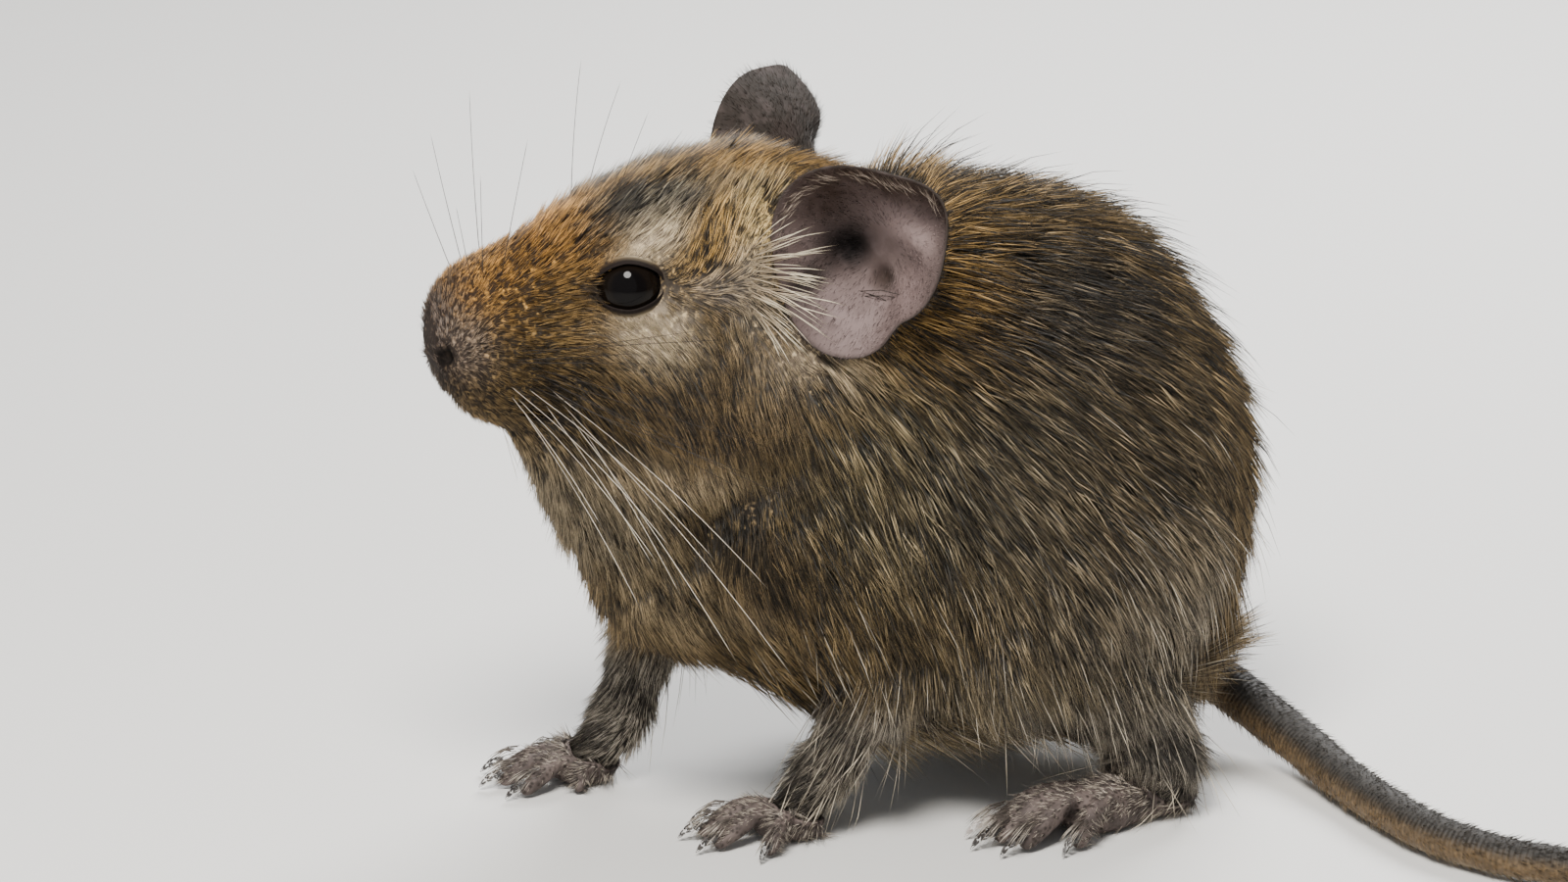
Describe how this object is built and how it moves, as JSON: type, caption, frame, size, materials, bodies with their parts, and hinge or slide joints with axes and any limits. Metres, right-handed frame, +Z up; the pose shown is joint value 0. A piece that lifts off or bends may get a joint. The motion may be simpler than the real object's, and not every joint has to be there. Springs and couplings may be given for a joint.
{
  "type": "degu",
  "caption": "Life-size degu, a small rodent with cupped ears and a brush-tipped tail, crouching with its head raised and its tail laid on the floor.",
  "frame": {"origin": "middle of the animal's footprint, tail included, on the floor", "axes": "-Y is where the animal faces, +X is its left side, +Z is up; the longest extent runs along Y"},
  "size_m": [0.1046, 0.1806, 0.0871],
  "materials": {
    "coat": "matt short fur",
    "leg": "matt short fur",
    "foot": "matt skin with short hair",
    "claw": "satin horn",
    "ear": "satin skin",
    "eye": "wet gloss",
    "tail": "matt short hair over scales",
    "brush": "matt bristles"
  },
  "bodies": {
    "root": {"claw_fore_left_2": "claw", "claw_fore_left_3": "claw", "claw_fore_left_4": "claw", "claw_fore_left_5": "claw", "claw_fore_right_2": "claw", "claw_fore_right_3": "claw", "claw_fore_right_4": "claw", "claw_fore_right_5": "claw", "claw_hind_left_1": "claw", "claw_hind_left_2": "claw", "claw_hind_left_3": "claw", "claw_hind_left_4": "claw", "claw_hind_left_5": "claw", "claw_hind_right_1": "claw", "claw_hind_right_2": "claw", "claw_hind_right_3": "claw", "claw_hind_right_4": "claw", "claw_hind_right_5": "claw", "ear_left": "ear", "ear_right": "ear", "eye_left": "eye", "eye_right": "eye", "forearm_left": "leg", "forearm_right": "leg", "forepaw_left": "foot", "forepaw_right": "foot", "head": "coat", "hindfoot_left": "foot", "hindfoot_right": "foot", "neck": "coat", "shank_left": "leg", "shank_right": "leg", "tail_base": "tail", "tail_brush": "brush", "tail_end": "tail", "tail_middle": "tail", "thigh_left": "coat", "thigh_right": "coat", "torso": "coat", "upper_arm_left": "coat", "upper_arm_right": "coat"}
  },
  "joints": []
}
